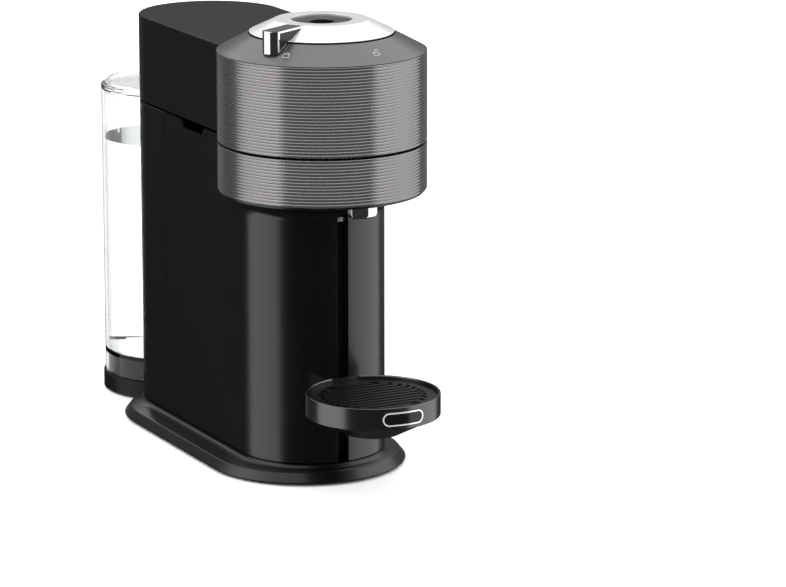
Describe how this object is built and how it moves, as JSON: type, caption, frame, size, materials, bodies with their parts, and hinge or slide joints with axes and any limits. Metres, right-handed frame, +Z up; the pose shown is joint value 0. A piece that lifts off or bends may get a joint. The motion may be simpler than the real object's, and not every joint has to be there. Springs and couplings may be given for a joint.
{
  "type": "pod coffee machine",
  "caption": "Slim pod coffee machine: round ribbed tilting head with turn lever, sliding cup support, side capsule container and lift-off rear water tank.",
  "frame": {"origin": "middle of the footprint's bounding box, on the floor", "axes": "+Z up; -Y the front, where the cup stands; +Y the water tank; X across the width"},
  "size_m": [0.142, 0.429, 0.314],
  "materials": {
    "ribbed_grey": "satin",
    "cap_grey": "satin",
    "chrome": "polished",
    "black_shell": "fine matte",
    "satin_black": "satin",
    "dark_plastic": "matte",
    "rubber": "matte",
    "steel": "brushed",
    "alloy": "cast",
    "brass": "satin",
    "clear_plastic": "polished clear",
    "hose": "silicone",
    "board": "satin"
  },
  "bodies": {
    "stand": {"base_plinth": "black_shell", "tank_seat": "black_shell", "inlet_spigot": "dark_plastic", "foot_front_left": "rubber", "foot_front_right": "rubber", "foot_middle_left": "rubber", "foot_middle_right": "rubber", "foot_rear": "rubber", "front_column": "satin_black", "slot_rail": "dark_plastic", "lower_head_ring": "ribbed_grey", "capsule_deck": "satin_black", "collector_bowl": "dark_plastic", "coffee_outlet": "chrome", "shaft_bearing": "steel", "bearing_plate": "alloy", "spin_motor": "steel", "rear_shell": "black_shell", "right_side_panel": "black_shell", "cable_gland": "rubber", "top_housing": "black_shell", "hinge_pin": "steel", "water_pump": "brass", "pump_mount": "rubber", "flow_meter": "dark_plastic", "heater_block": "alloy", "control_board": "board", "suction_hose": "hose", "pressure_hose": "hose", "supply_hose": "hose"},
    "head": {"upper_head_ring": "ribbed_grey", "head_cap": "cap_grey", "head_underplate": "satin_black", "head_chassis": "dark_plastic", "injector_bearing": "steel", "code_reader": "dark_plastic", "head_hose": "hose", "hinge_bracket": "black_shell", "button_switch": "dark_plastic"},
    "lever": {"lever_ring": "chrome", "locking_ring": "steel"},
    "button": {"brew_button": "steel", "button_inset": "dark_plastic"},
    "injector": {"injector_head": "steel"},
    "capsule_cup": {"capsule_holder": "steel", "drive_shaft": "steel"},
    "cup_support": {"drip_tray": "ribbed_grey", "support_arm": "alloy", "front_badge": "chrome"},
    "grille": {"drip_grille": "dark_plastic"},
    "container": {"container_panel": "black_shell", "capsule_container": "black_shell"},
    "tank": {"tank_shell": "clear_plastic", "tank_base": "dark_plastic", "tank_seal": "rubber"},
    "valve": {"tank_valve": "dark_plastic"},
    "lid": {"tank_lid": "clear_plastic"}
  },
  "joints": [
    {"name": "head_tilt", "type": "hinge", "parent": "stand", "child": "head", "pos_m": [0, -0.0168, 0.2915], "axis": [-1, 0, 0], "range_deg": [0, 42]},
    {"name": "lever_turn", "type": "hinge", "parent": "head", "child": "lever", "pos_m": [0, -0.0928, 0.31], "axis": [0, 0, 1], "range_deg": [0, 60]},
    {"name": "button_press", "type": "slide", "parent": "head", "child": "button", "axis": [0, 0, -1], "range_m": [0, 0.0012], "stiffness_N_per_m": 1500, "springref_m": -0.0006},
    {"name": "cup_spin", "type": "hinge", "parent": "stand", "child": "capsule_cup", "pos_m": [0, -0.0928, 0.21], "axis": [0, 0, 1], "continuous": true},
    {"name": "injector_spin", "type": "hinge", "parent": "head", "child": "injector", "pos_m": [0, -0.0928, 0.245], "axis": [0, 0, 1], "continuous": true},
    {"name": "support_height", "type": "slide", "parent": "stand", "child": "cup_support", "axis": [0, 0, 1], "range_m": [-0.028, 0.055]},
    {"name": "grille_lift", "type": "slide", "parent": "cup_support", "child": "grille", "axis": [0, 0, 1], "range_m": [0, 0.02]},
    {"name": "container_slide", "type": "slide", "parent": "stand", "child": "container", "axis": [-1, 0, 0], "range_m": [0, 0.11]},
    {"name": "tank_lift", "type": "slide", "parent": "stand", "child": "tank", "axis": [0, 0, 1], "range_m": [0, 0.06]},
    {"name": "valve_lift", "type": "slide", "parent": "tank", "child": "valve", "axis": [0, 0, 1], "range_m": [0, 0.0025], "stiffness_N_per_m": 300, "springref_m": -0.002},
    {"name": "lid_lift", "type": "slide", "parent": "tank", "child": "lid", "axis": [0, 0, 1], "range_m": [0, 0.03]}
  ],
  "couplings": [
    {"joint": "injector_spin", "follows": "cup_spin", "ratio": 1}
  ]
}
